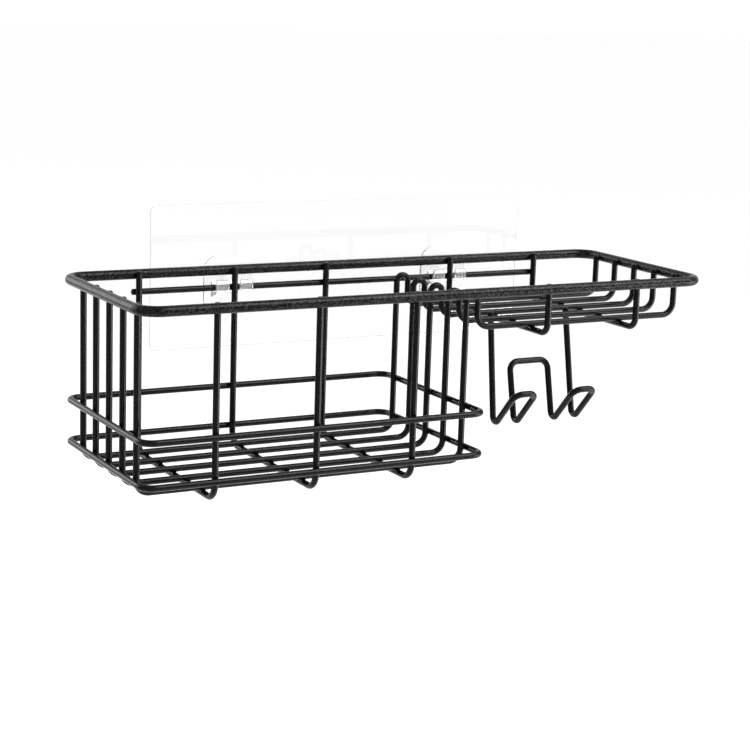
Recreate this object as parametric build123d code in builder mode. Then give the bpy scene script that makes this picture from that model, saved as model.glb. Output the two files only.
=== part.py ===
from build123d import *
import os

os.makedirs("parts", exist_ok=True)

# A wire shower caddy: a deep bottle basket and a shallow soap dish share one thick top
# rim, a razor hook hangs under the dish, and a hanger bar at the back drops into two
# clear hooks on a self-adhesive film that sticks to the wall.
#
# Millimetres.  The origin is the centre of the face that touches the wall (Y = 0).
# X runs to the right along the wall, Y points into the wall, and Z points up.

# ---- driving sizes: wire stock -----------------------------------------------------
rim_wire = 5.2          # diameter of the thick top rim
thin_wire = 3.3         # diameter of every other wire
weld_set = 0.2          # how far two welded wires press into each other
end_round = 1.0         # rounding of each wire's cut ends

# ---- driving sizes: top rim --------------------------------------------------------
rim_length = 315.6      # centre line, along the wall
rim_depth = 107.0       # centre line, out from the wall
rim_corner = 10.0       # centre line bend radius
rim_height = 3.8        # centre line above the film's centre
rim_clearance = 1.0     # from the back of the rim to the plates of the clear hooks

# ---- driving sizes: bottle basket --------------------------------------------------
basket_length = 177.5   # between the centre lines of its two end walls
basket_height = 89.6    # from the rim's centre line down to the floor wires
floor_bend = 6.5        # bend where an end wall turns into the floor
cross_bend = 8.0        # bend of the cross wires at the basket's floor
basket_ring_corner = 6.5
middle_ring_rise = 27.9  # middle ring above the floor wires

# ---- driving sizes: soap dish ------------------------------------------------------
divider_width = 6.8     # the divider's two walls, centre to centre
divider_drop = 4.6      # top of the divider's loops below the rim's centre line
loop_flat = 0.01        # half of the straight stretch left at the top of each loop
dish_height = 20.7      # from the rim's centre line down to the dish floor
dish_bend = 6.5         # bend where a dish wall turns into its floor
dish_cross_bend = 5.5

# ---- driving sizes: wire pattern ---------------------------------------------------
long_wires = 5
front_bay = 18.1        # rim's front centre line to the front long wire
back_bay = 16.3         # rear long wire to the rim's back centre line
long_tip_rise = 1.4     # ends of the long wires above the rim's centre line
cross_tip_rise = 2.2    # ends of the cross wires above the rim's centre line
basket_bays = (0.64, 1, 1, 0.69)  # bays between cross wires, relative to a full one
dish_bays = (0.61, 1, 0.63)

# ---- driving sizes: hanger bar -----------------------------------------------------
bar_drop = 9.0          # below the rim's centre line
bar_overhang = 3.0      # past the outermost cross wires, at both ends

# ---- driving sizes: razor hook -----------------------------------------------------
hook_wire_number = 2    # the long wire that carries it, counted from the front
hook_outset = 12.0      # its left leg stands this far left of the first dish cross wire
hook_top_width = 47.0   # outer legs at the top, centre to centre
hook_foot_width = 49.6  # outer legs at the bottom
hook_inner_width = 23.6  # inner legs, centre to centre
hook_stub = 3.2         # outer legs above the dish floor's centre line
hook_length = 57.0      # dish floor down to the corner of the leg and the arm
hook_lean = 9.0         # the foot stands this much further forward than the weld
loop_lean = 7.2         # the foot stands this much further forward than the loop's top
arm_reach = 19.8        # foot to tip, forward
arm_rise = 21.6         # foot to tip, upward
loop_drop = 24.0        # dish floor down to the inner loop's top
foot_bend = 3.0
tip_bend = 4.8
loop_bend = 5.0

# ---- driving sizes: wall film and clear hooks --------------------------------------
film_side = 32.4        # film past the hooks' plates, at both sides
film_height = 76.0
film_offset = 2.6       # film's centre, right of the middle of the two hooks
film_corner = 3.5
film_thickness = 0.5
glue_thickness = 0.3
glue_margin = 1.5
plate_width = 27.6
plate_height = 30.0
plate_corner = 7.5
plate_thickness = 1.8
plate_edge = 0.6        # rounding of the plate's front edge
plate_top = 10.6        # above the film's centre
bar_clearance = 0.25    # between the bar and the hook that carries it
prong_width = 7.0
prong_clearance = 1.65  # between a prong and the cross wire that it stands beside
prong_thickness = 2.2
prong_rise = 4.2        # prong tops above the bar's centre
prong_top_round = 0.9   # rounding of the prongs' tops, seen from the side
prong_edge = 0.5        # rounding of the prongs' side edges
guide_rise = 2.0        # back of the channel above the bar's centre
guide_slope = 1.5       # the guide climbs this much from there to the plate
skirt_drop = 2.0        # the channel's underside falls this much towards the plate
hooked_cross_wires = (1, 3)   # the cross wires that the clear hooks straddle

# ---- places worked out from the sizes ----------------------------------------------
thin_radius = thin_wire / 2
crossing = thin_wire - weld_set                    # two thin wires, centre to centre
inside_rim = rim_wire / 2 + thin_radius - weld_set  # rim to a thin wire inside it


def spread(first, last, count):
    """Evenly spaced places from first to last, both included."""
    return [first + (last - first) * i / (count - 1) for i in range(count)]


def bay_lines(start, end, bays):
    """Places of the wires between neighbouring bays, from start to end."""
    return [start + (end - start) * sum(bays[:i]) / sum(bays) for i in range(1, len(bays))]


# along the wall, measured from the left end wall
dish_start = basket_length + divider_width
dish_end = rim_length - 2 * inside_rim
cross_places = bay_lines(0, basket_length, basket_bays)
cross_places += bay_lines(dish_start, dish_end, dish_bays)
hooked_places = [cross_places[i] for i in hooked_cross_wires]

# the same along X, whose zero is the film's centre
left_wall = -film_offset - sum(hooked_places) / 2
divider_left = left_wall + basket_length
divider_right = left_wall + dish_start
right_wall = left_wall + dish_end
rim_left = left_wall - inside_rim
rim_right = right_wall + inside_rim
cross_x = [left_wall + place for place in cross_places]
hook_x = [left_wall + place for place in hooked_places]

# outward from the wall: film, hook plates, rim
film_back = -glue_thickness
film_front = film_back - film_thickness
plate_front = film_front - plate_thickness
rim_back = plate_front - rim_clearance - rim_wire / 2
rim_front = rim_back - rim_depth
front_wall = rim_front + inside_rim
back_wall = rim_back - inside_rim
long_wire_y = spread(rim_front + front_bay, rim_back - back_bay, long_wires)

# heights
rim_z = rim_height
basket_floor = rim_z - basket_height
dish_floor = rim_z - dish_height
bar_y = back_wall + crossing
bar_z = rim_z - bar_drop


def export(piece, name):
    piece.part.label = name
    export_step(piece.part, f"parts/{name}.step")


def bent_wire(points, radii, diameter):
    """A round wire along straight runs and tangent bends, with rounded ends."""
    with BuildPart() as wire:
        with BuildLine() as path:
            line = FilletPolyline(*points, radius=radii)
        with BuildSketch(Plane(origin=line @ 0, z_dir=line % 0)):
            Circle(diameter / 2)
        sweep()
        ends = wire.faces().filter_by(GeomType.PLANE)
        fillet(ends.edges(), end_round)
    return wire


def ring(left, right, front, back, height, corner, diameter):
    """A closed rectangular ring of round wire, butt welded in one long side."""
    middle = (left + right) / 2
    with BuildPart() as loop:
        with BuildLine(Plane.XY.offset(height)) as path:
            Line((middle, back), (left + corner, back))
            RadiusArc((left + corner, back), (left, back - corner), -corner)
            Line((left, back - corner), (left, front + corner))
            RadiusArc((left, front + corner), (left + corner, front), -corner)
            Line((left + corner, front), (right - corner, front))
            RadiusArc((right - corner, front), (right, front + corner), -corner)
            Line((right, front + corner), (right, back - corner))
            RadiusArc((right, back - corner), (right - corner, back), -corner)
            Line((right - corner, back), (middle, back))
        with BuildSketch(Plane(origin=(middle, back, height), z_dir=(-1, 0, 0))):
            Circle(diameter / 2)
        sweep()
    return loop


# ---- the thick top rim and the two rings round the basket ---------------------------
export(ring(rim_left, rim_right, rim_front, rim_back, rim_z, rim_corner, rim_wire), "top_rim")

ring_sides = (
    left_wall - crossing, divider_left + crossing, front_wall - crossing, back_wall + crossing
)
middle_ring_z = basket_floor + middle_ring_rise
bottom_ring_z = basket_floor + floor_bend
export(ring(*ring_sides, middle_ring_z, basket_ring_corner, thin_wire), "middle_ring")
export(ring(*ring_sides, bottom_ring_z, basket_ring_corner, thin_wire), "bottom_ring")

# ---- long wires: end wall, basket floor, looped divider, dish floor, end wall --------
long_tip = rim_z + long_tip_rise
loop_top = rim_z - divider_drop
loop_radius = divider_width / 2 - loop_flat
long_radii = [floor_bend, floor_bend, loop_radius, loop_radius, dish_bend, dish_bend]
for number, y in enumerate(long_wire_y, start=1):
    long_points = [
        (left_wall, y, long_tip),
        (left_wall, y, basket_floor),
        (divider_left, y, basket_floor),
        (divider_left, y, loop_top),
        (divider_right, y, loop_top),
        (divider_right, y, dish_floor),
        (right_wall, y, dish_floor),
        (right_wall, y, long_tip),
    ]
    export(bent_wire(long_points, long_radii, thin_wire), f"long_wire_{number}")

# ---- cross wires: front wall, under the floor wires, back wall -----------------------
cross_tip = rim_z + cross_tip_rise


def cross_wire(x, floor, bend):
    under = floor - crossing
    cross_points = [
        (x, front_wall, cross_tip),
        (x, front_wall, under),
        (x, back_wall, under),
        (x, back_wall, cross_tip),
    ]
    return bent_wire(cross_points, [bend, bend], thin_wire)


basket_cross_wires = len(basket_bays) - 1
for number, x in enumerate(cross_x[:basket_cross_wires], start=1):
    export(cross_wire(x, basket_floor, cross_bend), f"basket_cross_wire_{number}")
for number, x in enumerate(cross_x[basket_cross_wires:], start=1):
    export(cross_wire(x, dish_floor, dish_cross_bend), f"dish_cross_wire_{number}")

# ---- hanger bar, behind the cross wires ---------------------------------------------
bar_left = cross_x[0] - bar_overhang
bar_right = cross_x[-1] + bar_overhang
with BuildPart() as hanger_bar:
    with BuildSketch(Plane.YZ.offset(bar_left)):
        with Locations((bar_y, bar_z)):
            Circle(thin_radius)
    extrude(amount=bar_right - bar_left)
    fillet(hanger_bar.faces().filter_by(GeomType.PLANE).edges(), end_round)
export(hanger_bar, "hanger_bar")

# ---- razor hook: one wire, down, forward to a tip, back, and over an inner loop ------
hook_middle = cross_x[basket_cross_wires] - hook_outset + hook_top_width / 2
hook_weld_y = long_wire_y[hook_wire_number - 1] + crossing


def leg_y(drop):
    """Place of the leaning legs at a distance below the dish floor's centre line."""
    return hook_weld_y - hook_lean * drop / hook_length


hook_top = dish_floor + hook_stub
foot_z = dish_floor - hook_length
foot_y = leg_y(hook_length)
tip_y = foot_y - arm_reach
tip_z = foot_z + arm_rise
loop_z = dish_floor - loop_drop


def hook_half(side):
    """The corners of one half of the hook, from its welded top to the inner loop."""
    outer_top = hook_middle + side * hook_top_width / 2
    outer = hook_middle + side * hook_foot_width / 2
    inner = hook_middle + side * hook_inner_width / 2
    return [
        (outer_top, leg_y(-hook_stub), hook_top),
        (outer, foot_y, foot_z),
        (outer, tip_y, tip_z),
        (inner, tip_y, tip_z),
        (inner, foot_y, foot_z),
        (inner, foot_y + loop_lean, loop_z),
    ]


hook_points = hook_half(-1) + hook_half(1)[::-1]
half_radii = [foot_bend, tip_bend, tip_bend, foot_bend, loop_bend]
export(bent_wire(hook_points, half_radii + half_radii[::-1], thin_wire), "razor_hook")

# ---- adhesive layer and clear film on the wall ---------------------------------------
film_width = hook_x[1] - hook_x[0] + plate_width + 2 * film_side
with BuildPart() as adhesive_layer:
    with BuildSketch(Plane.XZ):
        RectangleRounded(
            film_width - 2 * glue_margin, film_height - 2 * glue_margin,
            film_corner - glue_margin,
        )
    extrude(amount=glue_thickness)
export(adhesive_layer, "adhesive_layer")

with BuildPart() as adhesive_film:
    with BuildSketch(Plane.XZ.offset(-film_back)):
        RectangleRounded(film_width, film_height, film_corner)
    extrude(amount=film_thickness)
export(adhesive_film, "adhesive_film")

# ---- clear hooks: a plate, and a channel whose front is split into two prongs --------
channel = thin_radius + bar_clearance
channel_front = bar_y - channel
prong_front = channel_front - prong_thickness
prong_top = bar_z + prong_rise
prong_gap = thin_wire + 2 * prong_clearance
prong_outside = prong_gap / 2 + prong_width


def clear_hook(x):
    channel_floor = bar_z - channel - prong_thickness
    with BuildPart() as hook:
        # the channel's section, seen from the side, carried across both prongs
        with BuildSketch(Plane.YZ.offset(x - prong_outside)) as section:
            with BuildLine():
                Polyline(
                    (plate_front, channel_floor - skirt_drop),
                    (plate_front, bar_z + guide_rise + guide_slope),
                    (bar_y + channel, bar_z + guide_rise),
                    (bar_y + channel, bar_z),
                )
                ThreePointArc(
                    (bar_y + channel, bar_z), (bar_y, bar_z - channel), (channel_front, bar_z)
                )
                Polyline(
                    (channel_front, bar_z), (channel_front, prong_top),
                    (prong_front, prong_top), (prong_front, bar_z),
                )
                RadiusArc(
                    (prong_front, bar_z), (bar_y, channel_floor), -(channel + prong_thickness)
                )
                Line((bar_y, channel_floor), (plate_front, channel_floor - skirt_drop))
            make_face()
            fillet(section.vertices().group_by(Axis.Z)[-1], prong_top_round)
        extrude(amount=2 * prong_outside)
        # the gap that a cross wire stands in
        with BuildSketch(Plane.XZ.offset(-prong_front)):
            with Locations((x, bar_z)):
                Rectangle(prong_gap, 2 * plate_height)
        extrude(amount=-(bar_y - prong_front), mode=Mode.SUBTRACT)
        sides = hook.faces().filter_by(Axis.X).edges()
        fillet(sides.filter_by_position(Axis.Y, prong_front, channel_front), prong_edge)
        with BuildSketch(Plane.XZ.offset(-film_front)):
            with Locations((x, plate_top - plate_height / 2)):
                RectangleRounded(plate_width, plate_height, plate_corner)
        extrude(amount=plate_thickness)
        plate_rim = hook.edges().filter_by_position(
            Axis.Y, plate_front, plate_front
        ).filter_by(lambda edge: abs(edge.center().X - x) > prong_outside)
        fillet(plate_rim, plate_edge)
    return hook


for name, x in zip(("clear_hook_left", "clear_hook_right"), hook_x):
    export(clear_hook(x), name)
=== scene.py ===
"""A wire shower caddy on its clear wall film: looks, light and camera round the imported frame.

The fixed frame gives every wire, the film and the two clear hooks.  This script adds the
weld fillets where wires cross, the film's rendered sheet and every material.
Metres; X along the wall, Y into the wall, Z up.
"""

import math
from types import SimpleNamespace

import bmesh
import bpy
from mathutils import Matrix, Vector


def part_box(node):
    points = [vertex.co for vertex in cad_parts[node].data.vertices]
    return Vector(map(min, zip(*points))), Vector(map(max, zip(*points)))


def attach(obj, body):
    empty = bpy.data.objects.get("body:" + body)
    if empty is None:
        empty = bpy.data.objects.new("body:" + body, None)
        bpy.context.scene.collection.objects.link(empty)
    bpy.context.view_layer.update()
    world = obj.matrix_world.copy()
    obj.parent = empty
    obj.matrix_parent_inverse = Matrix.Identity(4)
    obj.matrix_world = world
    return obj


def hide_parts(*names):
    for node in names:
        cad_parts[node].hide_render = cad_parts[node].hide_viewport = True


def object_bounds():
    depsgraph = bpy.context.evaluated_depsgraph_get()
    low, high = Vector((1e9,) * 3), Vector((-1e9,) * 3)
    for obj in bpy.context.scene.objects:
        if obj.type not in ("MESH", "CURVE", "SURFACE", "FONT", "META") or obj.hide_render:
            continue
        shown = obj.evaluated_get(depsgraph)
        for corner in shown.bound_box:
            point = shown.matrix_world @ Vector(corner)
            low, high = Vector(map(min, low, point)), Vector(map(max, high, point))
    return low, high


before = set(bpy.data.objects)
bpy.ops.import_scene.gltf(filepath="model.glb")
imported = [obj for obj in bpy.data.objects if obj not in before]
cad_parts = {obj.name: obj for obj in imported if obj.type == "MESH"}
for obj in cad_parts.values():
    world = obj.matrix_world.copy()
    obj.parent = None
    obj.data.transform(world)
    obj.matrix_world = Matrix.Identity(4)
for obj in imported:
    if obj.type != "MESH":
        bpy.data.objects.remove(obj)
cad_low, cad_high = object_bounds()

MM = 0.001
X, Y, Z = Vector((1, 0, 0)), Vector((0, 1, 0)), Vector((0, 0, 1))

# ---- camera --------------------------------------------------------------------------
CAMERA_PLACE = (-0.47059, -0.89792, 0.15191)
CAMERA_RIGHT = (0.88103, -0.47204, 0.03113)
CAMERA_DOWN = (-0.06451, -0.18506, -0.98061)
CAMERA_FORWARD = (0.46865, 0.86194, -0.19349)
CAMERA_LENS = 90.45
CAMERA_SHIFT = (0.01074, -0.02392)
CAMERA_SENSOR = 36.0
CAMERA_CLIP = (0.01, 60.0)

# ---- powder coat: where the sand noise turns from one finish to the other ------------
TONE_FROM, TONE_TO = 0.48, 0.64     # dark to light black
SHINE_FROM, SHINE_TO = 0.44, 0.60   # dull to shiny flecks
GLOSS_FROM, GLOSS_TO = 0.35, 0.70   # smooth to rough

# ---- clear plastic -------------------------------------------------------------------
CLEAR_SPECULAR = 0.08
CLEAREST = 0.6              # roughness of the clearest places, as a share of the haziest
HAZE_FROM, HAZE_TO = 0.35, 0.70
# The film edge's dark and light greys are painted shade: a grey outline in colour for the light
# its edge bends away.
EDGE_SHADE_DARK, EDGE_SHADE_LIGHT = (0.28, 0.30, 0.31), (0.42, 0.44, 0.45)
EDGE_FROM, EDGE_TO = 0.35, 0.65

# ---- welds ---------------------------------------------------------------------------
FILLET_GAP = 0.45 * MM      # the crevice is filled up to where the wires are this far apart
FILLET_WAIST = 0.55         # how deep the fillet's waist is, as a share of that gap
FILLET_SUNK = 0.03 * MM     # the fillet's two rims lie this far inside the wires
FILLET_TURNS = 28
FILLET_STEPS = 7
REACH_HALVINGS = 24

# ---- razor hook ----------------------------------------------------------------------
HOOK_CARRIER = "long_wire_2"
HOOK_LEAN = 9.0 / 57.0      # its legs' slope out from the wall
HOOK_SPREAD = 1.2 * MM      # the legs' feet stand this much wider apart than their tops

# ---- wall film -----------------------------------------------------------------------
FILM_SKIN = 0.03 * MM       # the film's faces stand this far inside the CAD film's
FILM_EDGE = 0.20 * MM       # its edge is broken by this much
FILM_CORNER = 3.5 * MM      # its corners' radius
CORNER_TURNS = 10

# ---- studio --------------------------------------------------------------------------
FLOOR_DROP = 0.60           # below the lowest wire
FLOOR_SIZE = 60.0
FLOOR_GREY = 0.96
WORLD_STRENGTH = 1.03
SOFTBOXES = (               # name, place, width and height, radiance
    ("left_back_softbox", (-1.1, 1.3, 0.5), (1.6, 1.2), 3.7),
    ("top_front_softbox", (0.95, -1.0, 1.3), (1.4, 1.4), 10.5),
    ("right_front_softbox", (1.30, -1.02, -0.28), (1.15, 0.50), 15.0),
)


# =====================================================================================
# materials
# =====================================================================================
class Recipe:
    """A material's node tree and its shader, with short ways to add and join nodes."""

    def __init__(self, name):
        self.material = bpy.data.materials.new(name)
        self.material.use_nodes = True
        self.tree = self.material.node_tree
        self.tree.nodes.clear()
        self.shader = self.add("ShaderNodeBsdfPrincipled")
        output = self.add("ShaderNodeOutputMaterial")
        self.join(self.shader, "BSDF", output, "Surface")

    def add(self, kind, **settings):
        node = self.tree.nodes.new(kind)
        for key, value in settings.items():
            if key in node.inputs:
                node.inputs[key].default_value = value
            else:
                setattr(node, key, value)
        return node

    def join(self, source, output, target, entry):
        self.tree.links.new(source.outputs[output], target.inputs[entry])

    def set(self, **values):
        for key, value in values.items():
            self.shader.inputs[key.replace("_", " ")].default_value = value

    def noise(self, size, detail=2.0, roughness=0.5):
        """Noise whose blobs are about size metres across."""
        place = self.add("ShaderNodeTexCoord")
        noise = self.add("ShaderNodeTexNoise", Scale=1 / size, Detail=detail, Roughness=roughness)
        self.join(place, "Object", noise, "Vector")
        return noise

    def ramp(self, source, output, *stops):
        """A colour ramp: stops are (position, grey or colour)."""
        ramp = self.add("ShaderNodeValToRGB")
        while len(ramp.color_ramp.elements) < len(stops):
            ramp.color_ramp.elements.new(0.5)
        for element, (position, colour) in zip(ramp.color_ramp.elements, stops):
            grey = not hasattr(colour, "__len__")
            element.position = position
            element.color = (colour, colour, colour, 1) if grey else (*colour, 1)
        self.join(source, output, ramp, "Fac")
        return ramp

    def bump(self, source, output, height, strength=1.0, below=None):
        """A bump of that height in metres, on top of the one below it."""
        bump = self.add("ShaderNodeBump", Strength=strength, Distance=height)
        self.join(source, output, bump, "Height")
        if below is not None:
            self.join(below, "Normal", bump, "Normal")
        return bump


def powder_coat(name, grain, depth, peel, peel_depth, dark, light, smooth, rough, flecks):
    """Black powder coat: a sandy grain with flecks of gloss over a slower orange peel."""
    recipe = Recipe(name)
    recipe.set(Metallic=0.0, IOR=1.5)
    sand = recipe.noise(grain, detail=3.0, roughness=0.65)
    wave = recipe.noise(peel, detail=1.0)
    colour = recipe.ramp(sand, "Fac", (TONE_FROM, dark), (TONE_TO, light))
    recipe.join(colour, "Color", recipe.shader, "Base Color")
    shine = recipe.ramp(sand, "Fac", (SHINE_FROM, flecks[0]), (SHINE_TO, flecks[1]))
    recipe.join(shine, "Color", recipe.shader, "Specular IOR Level")
    gloss = recipe.ramp(sand, "Fac", (GLOSS_FROM, smooth), (GLOSS_TO, rough))
    recipe.join(gloss, "Color", recipe.shader, "Roughness")
    peel_bump = recipe.bump(wave, "Fac", peel_depth)
    grain_bump = recipe.bump(sand, "Fac", depth, below=peel_bump)
    recipe.join(grain_bump, "Normal", recipe.shader, "Normal")
    return recipe.material


def clear_plastic(name, tint, rough, index, flow, flow_depth, milk=0.0):
    """Clear moulded plastic or film, with the slow waves of its surface and a milky share."""
    recipe = Recipe(name)
    recipe.set(Transmission_Weight=1.0 - milk, IOR=index, Base_Color=(*tint, 1))
    recipe.set(Specular_IOR_Level=CLEAR_SPECULAR)
    wave = recipe.noise(flow, detail=1.0)
    haze = recipe.ramp(wave, "Fac", (HAZE_FROM, rough * CLEAREST), (HAZE_TO, rough))
    recipe.join(haze, "Color", recipe.shader, "Roughness")
    recipe.join(recipe.bump(wave, "Fac", flow_depth), "Normal", recipe.shader, "Normal")
    return recipe.material


def painted_edge_shade():
    """The die-cut edge of the film: hazy, and painted a little grey as shade, standing in for the
    light that the edge bends away.
    """
    recipe = Recipe("film_edge_painted_shade")
    recipe.set(Transmission_Weight=0.5, IOR=1.45, Roughness=0.45)
    haze = recipe.noise(1.5 * MM, detail=2.0)
    # Painted shade: the edge's grey outline, from noise between the two greys.
    colour = recipe.ramp(haze, "Fac", (EDGE_FROM, EDGE_SHADE_DARK), (EDGE_TO, EDGE_SHADE_LIGHT))
    recipe.join(colour, "Color", recipe.shader, "Base Color")
    return recipe.material


def floor_paint():
    """The plain pale floor's matt paint."""
    recipe = Recipe("floor_paint")
    recipe.set(Base_Color=(*[FLOOR_GREY] * 3, 1), Roughness=0.9, Specular_IOR_Level=0.1)
    return recipe.material


finishes = {
    "rim_coat": powder_coat(
        "rim_powder_coat", grain=0.80 * MM, depth=0.10 * MM, peel=3.5 * MM, peel_depth=0.05 * MM,
        dark=(0.0006, 0.0006, 0.0007), light=(0.0120, 0.0116, 0.0130), smooth=0.18, rough=0.28,
        flecks=(0.045, 0.140),
    ),
    "wire_coat": powder_coat(
        "wire_powder_coat", grain=0.60 * MM, depth=0.025 * MM, peel=2.5 * MM, peel_depth=0.02 * MM,
        dark=(0.0010, 0.0010, 0.0011), light=(0.0045, 0.0045, 0.0048), smooth=0.16, rough=0.24,
        flecks=(0.075, 0.115),
    ),
    "clear_film": clear_plastic(
        "clear_film_sheet", tint=(0.995, 0.997, 0.998), rough=0.03, index=1.34,
        flow=30 * MM, flow_depth=0.006 * MM,
    ),
    "clear_glue": clear_plastic(
        "clear_adhesive", tint=(0.990, 0.992, 0.990), rough=0.04, index=1.12,
        flow=9 * MM, flow_depth=0.002 * MM,
    ),
    "clear_hook": clear_plastic(
        "clear_hook_plastic", tint=(0.965, 0.972, 0.975), rough=0.05, index=1.36,
        flow=6 * MM, flow_depth=0.02 * MM, milk=0.09,
    ),
}


# =====================================================================================
# pieces
# =====================================================================================
def new_piece(name, mesh, slot_name, body):
    """An object from a bmesh, with the finish of its slot, riding on a body."""
    data = bpy.data.meshes.new(name)
    mesh.to_mesh(data)
    mesh.free()
    piece = bpy.data.objects.new(name, data)
    bpy.context.scene.collection.objects.link(piece)
    data.materials.append(finishes[slot_name])
    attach(piece, body)
    return piece


def finish_cad_nodes():
    """Each CAD node keeps its mesh and gets the finish of its material slot."""
    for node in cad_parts.values():
        for place in node.material_slots:
            place.material = finishes[place.material.name.split(".")[0]]


def rounded_outline(low, high, corner):
    """Points of a rounded rectangle in X and Z, anticlockwise seen from -Y."""
    points = []
    for right, top, start in ((1, 0, 270), (1, 1, 0), (0, 1, 90), (0, 0, 180)):
        centre_x = high[0] - corner if right else low[0] + corner
        centre_z = high[1] - corner if top else low[1] + corner
        for step in range(CORNER_TURNS + 1):
            angle = math.radians(start + 90 * step / CORNER_TURNS)
            x, z = corner * math.cos(angle), corner * math.sin(angle)
            points.append((centre_x + x, centre_z + z))
    return points


def film_sheet():
    """The clear film, a hair clear of the glue and the hooks' plates, with soft edges."""
    low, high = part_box("adhesive_film")
    back, front = high.y - FILM_SKIN, low.y + FILM_SKIN
    levels = (
        (back, FILM_EDGE), (back - FILM_EDGE, 0), (front + FILM_EDGE, 0), (front, FILM_EDGE)
    )
    mesh = bmesh.new()
    rings = []
    for y, inset in levels:
        outline = rounded_outline(
            (low.x + inset, low.z + inset), (high.x - inset, high.z - inset), FILM_CORNER - inset
        )
        rings.append([mesh.verts.new((x, y, z)) for x, z in outline])
    for lower, upper in zip(rings, rings[1:]):
        for i in range(len(lower)):
            j = (i + 1) % len(lower)
            mesh.faces.new((lower[i], lower[j], upper[j], upper[i])).material_index = 1
    mesh.faces.new(rings[0][::-1])
    mesh.faces.new(rings[-1])
    piece = new_piece("film_sheet", mesh, "clear_film", "wall_mount")
    # The edge faces take the grey of the painted edge shade.
    piece.data.materials.append(painted_edge_shade())
    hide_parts("adhesive_film")


# =====================================================================================
# weld fillets
# =====================================================================================
def middle(node):
    """The centre of a node's box."""
    low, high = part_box(node)
    return (low + high) / 2


def weld_fillet(mesh, place, along_a, along_b, radius_a, radius_b, overlap):
    """A concave ring of weld and coat round the point where wire A and wire B touch.

    place is the middle of the overlap; the normal from A to B is along_a x along_b."""
    a, b = Vector(along_a).normalized(), Vector(along_b).normalized()
    normal = a.cross(b).normalized()
    side_a, side_b = normal.cross(a), normal.cross(b)

    def heights(step):
        """Heights of A's and B's surfaces over the contact, at a step off it."""
        across_a, across_b = step.dot(side_a), step.dot(side_b)
        top = overlap / 2 - radius_a + math.sqrt(max(radius_a**2 - across_a**2, 0))
        bottom = -overlap / 2 + radius_b - math.sqrt(max(radius_b**2 - across_b**2, 0))
        return top, bottom

    def reach(direction):
        """How far out the gap has opened to FILLET_GAP, by bisection."""
        near, far = 0.0, max(radius_a, radius_b)
        for _ in range(REACH_HALVINGS):
            half = (near + far) / 2
            top, bottom = heights(direction * half)
            near, far = (half, far) if bottom - top < FILLET_GAP else (near, half)
        return near

    rings = [[] for _ in range(FILLET_STEPS + 1)]
    for turn in range(FILLET_TURNS):
        angle = 2 * math.pi * turn / FILLET_TURNS
        direction = a * math.cos(angle) + side_a * math.sin(angle)
        out = reach(direction)
        top, bottom = heights(direction * out)
        top, bottom = top - FILLET_SUNK, bottom + FILLET_SUNK
        for index, ring in enumerate(rings):
            share = index / FILLET_STEPS
            inward = FILLET_WAIST * FILLET_GAP * math.sin(math.pi * share)
            point = direction * (out - inward) + normal * (top + (bottom - top) * share)
            ring.append(mesh.verts.new(Vector(place) + point))
    for lower, upper in zip(rings, rings[1:]):
        for i in range(FILLET_TURNS):
            j = (i + 1) % FILLET_TURNS
            mesh.faces.new((lower[i], lower[j], upper[j], upper[i])).smooth = True
    mesh.faces.new(rings[0][::-1])
    mesh.faces.new(rings[-1])


def weld_piece(name, welds, slot_name):
    """One piece of all the fillets of a family, riding on the basket."""
    mesh = bmesh.new()
    for weld in welds:
        weld_fillet(mesh, *weld)
    new_piece(name, mesh, slot_name, "basket")


def between(place_a, radius_a, place_b, radius_b):
    """The middle of the overlap of two round wires, from their centres along one axis."""
    toward = 1 if place_b > place_a else -1
    return (place_a + toward * radius_a + place_b - toward * radius_b) / 2


def wire_facts():
    """Names, radii, centre lines and overlaps of the wires, from their boxes."""
    names = sorted(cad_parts)
    longs, basket_cross, dish_cross = (
        [name for name in names if name.startswith(start)]
        for start in ("long_wire", "basket_cross", "dish_cross")
    )
    rim_low, rim_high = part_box("top_rim")
    ring_low, ring_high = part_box("middle_ring")
    long_low, long_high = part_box(longs[0])
    cross_low, cross_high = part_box(basket_cross[0])
    rim_radius = (rim_high.z - rim_low.z) / 2
    radius = (ring_high.z - ring_low.z) / 2
    return SimpleNamespace(
        longs=longs, basket_cross=basket_cross, dish_cross=dish_cross,
        rim_radius=rim_radius, radius=radius,
        left=long_low.x + radius, right=long_high.x - radius,
        front=cross_low.y + radius, back=cross_high.y - radius,
        rim_left=rim_low.x + rim_radius, rim_right=rim_high.x - rim_radius,
        rim_front=rim_low.y + rim_radius, rim_back=rim_high.y - rim_radius,
        rim_overlap=2 * rim_radius - (long_low.x - rim_low.x),
        overlap=2 * radius - (long_low.x - ring_low.x),
    )


def rim_welds(wires):
    """Every thin wire against the inside of the top rim."""
    z = middle("top_rim").z
    sizes = wires.rim_radius, wires.radius, wires.rim_overlap
    left_x = between(wires.rim_left, wires.rim_radius, wires.left, wires.radius)
    right_x = between(wires.rim_right, wires.rim_radius, wires.right, wires.radius)
    front_y = between(wires.rim_front, wires.rim_radius, wires.front, wires.radius)
    back_y = between(wires.rim_back, wires.rim_radius, wires.back, wires.radius)
    welds = []
    for name in wires.longs:
        y = middle(name).y
        welds.append(((left_x, y, z), Y, Z, *sizes))
        welds.append(((right_x, y, z), Y, -Z, *sizes))
    for name in wires.basket_cross + wires.dish_cross:
        x = middle(name).x
        welds.append(((x, front_y, z), X, -Z, *sizes))
        welds.append(((x, back_y, z), X, Z, *sizes))
    weld_piece("rim_welds", welds, "rim_coat")


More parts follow.
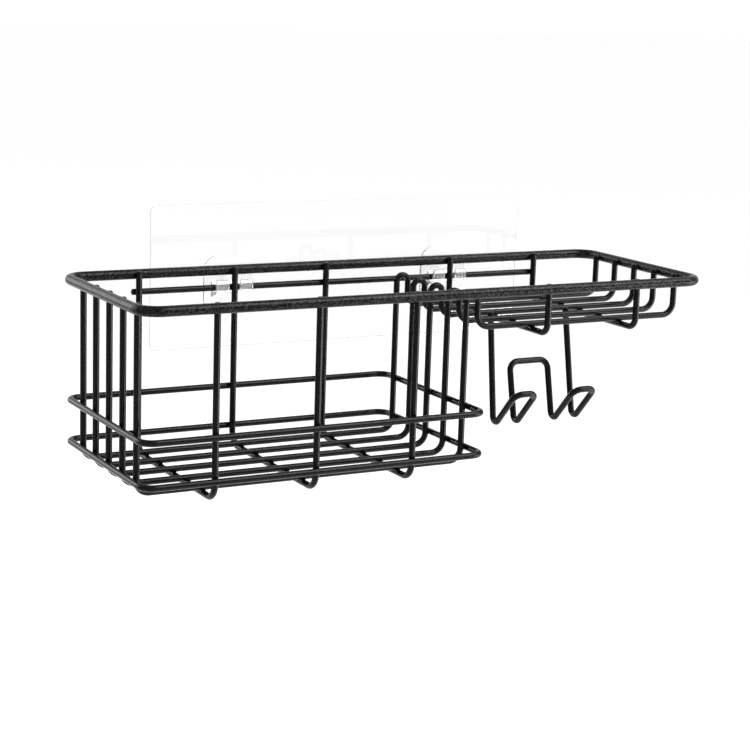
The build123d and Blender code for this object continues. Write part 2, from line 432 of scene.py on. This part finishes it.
def ring_welds(wires):
    """The basket's wires against the inside of its two rings."""
    sizes = wires.radius, wires.radius, wires.overlap
    inside = 2 * wires.radius - wires.overlap / 2
    welds = []
    for ring in ("middle_ring", "bottom_ring"):
        z = middle(ring).z
        low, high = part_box(ring)
        for name in wires.longs:
            y = middle(name).y
            welds.append(((low.x + inside, y, z), Y, Z, *sizes))
            welds.append(((high.x - inside, y, z), Y, -Z, *sizes))
        for name in wires.basket_cross:
            x = middle(name).x
            welds.append(((x, low.y + inside, z), X, -Z, *sizes))
            welds.append(((x, high.y - inside, z), X, Z, *sizes))
    weld_piece("ring_welds", welds, "wire_coat")


def floor_welds(wires):
    """The cross wires under the long wires, in both floors."""
    welds = []
    for name in wires.basket_cross + wires.dish_cross:
        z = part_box(name)[0].z + 2 * wires.radius - wires.overlap / 2
        for long_name in wires.longs:
            place = (middle(name).x, middle(long_name).y, z)
            welds.append((place, X, Y, wires.radius, wires.radius, wires.overlap))
    weld_piece("floor_welds", welds, "wire_coat")


def hanger_bar_welds(wires):
    """The hanger bar behind the cross wires."""
    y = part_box("hanger_bar")[0].y + wires.overlap / 2
    z = middle("hanger_bar").z
    welds = []
    for name in wires.basket_cross + wires.dish_cross:
        place = (middle(name).x, y, z)
        welds.append((place, Z, X, wires.radius, wires.radius, wires.overlap))
    weld_piece("hanger_bar_welds", welds, "wire_coat")


def razor_hook_welds(wires):
    """The razor hook's two outer legs, which lean forward behind the wire that carries them."""
    radius = wires.radius
    carrier_y = middle(HOOK_CARRIER).y
    dish_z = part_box(wires.dish_cross[0])[0].z + 3 * radius - wires.overlap
    low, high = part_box("razor_hook")
    lean = math.atan(HOOK_LEAN)
    overlap = 2 * radius - (2 * radius - wires.overlap) * math.cos(lean)
    normal = Vector((0, math.cos(lean), -math.sin(lean)))
    leg = Vector((0, -math.sin(lean), -math.cos(lean)))
    welds = []
    for x in (low.x + radius + HOOK_SPREAD, high.x - radius - HOOK_SPREAD):
        place = Vector((x, carrier_y, dish_z)) + normal * (radius - overlap / 2)
        welds.append((place, X, leg, radius, radius, overlap))
    weld_piece("razor_hook_welds", welds, "wire_coat")


def add_welds():
    """Fillets at every crossing."""
    wires = wire_facts()
    rim_welds(wires)
    ring_welds(wires)
    floor_welds(wires)
    hanger_bar_welds(wires)
    razor_hook_welds(wires)


# =====================================================================================
# studio
# =====================================================================================
def softbox(name, place, target, size, radiance):
    """A soft area light of that radiance, facing the target."""
    light = bpy.data.lights.new(name, "AREA")
    light.shape = "RECTANGLE"
    light.size, light.size_y = size
    light.energy = radiance * math.pi * size[0] * size[1]
    lamp = bpy.data.objects.new(name, light)
    lamp.location = place
    lamp.rotation_euler = (Vector(target) - Vector(place)).to_track_quat("-Z", "Y").to_euler()
    bpy.context.scene.collection.objects.link(lamp)


def studio():
    """An even white world, three softboxes and a plain floor."""
    centre = (cad_low + cad_high) / 2
    world = bpy.data.worlds.new("studio_world")
    world.use_nodes = True
    background = world.node_tree.nodes["Background"]
    background.inputs["Color"].default_value = (1, 1, 1, 1)
    background.inputs["Strength"].default_value = WORLD_STRENGTH
    bpy.context.scene.world = world

    for name, place, size, radiance in SOFTBOXES:
        softbox(name, place, centre, size, radiance)

    data = bpy.data.meshes.new("floor")
    half = FLOOR_SIZE / 2
    corners = [(-half, -half, 0), (half, -half, 0), (half, half, 0), (-half, half, 0)]
    data.from_pydata(corners, [], [(0, 1, 2, 3)])
    data.materials.append(floor_paint())
    floor = bpy.data.objects.new("floor", data)
    floor.location.z = cad_low.z - FLOOR_DROP
    bpy.context.scene.collection.objects.link(floor)


def camera():
    """A long lens on the caddy, slightly from the left and from above."""
    data = bpy.data.cameras.new("camera")
    data.lens = CAMERA_LENS
    data.sensor_width = CAMERA_SENSOR
    data.shift_x, data.shift_y = CAMERA_SHIFT
    data.clip_start, data.clip_end = CAMERA_CLIP
    right, down, forward = (Vector(v) for v in (CAMERA_RIGHT, CAMERA_DOWN, CAMERA_FORWARD))
    turn = Matrix((right, -down, -forward)).transposed().to_4x4()
    eye = bpy.data.objects.new("camera", data)
    eye.matrix_world = Matrix.Translation(CAMERA_PLACE) @ turn
    bpy.context.scene.collection.objects.link(eye)
    bpy.context.scene.camera = eye


finish_cad_nodes()
film_sheet()
add_welds()
studio()
camera()
bpy.context.scene.view_settings.view_transform = "Standard"
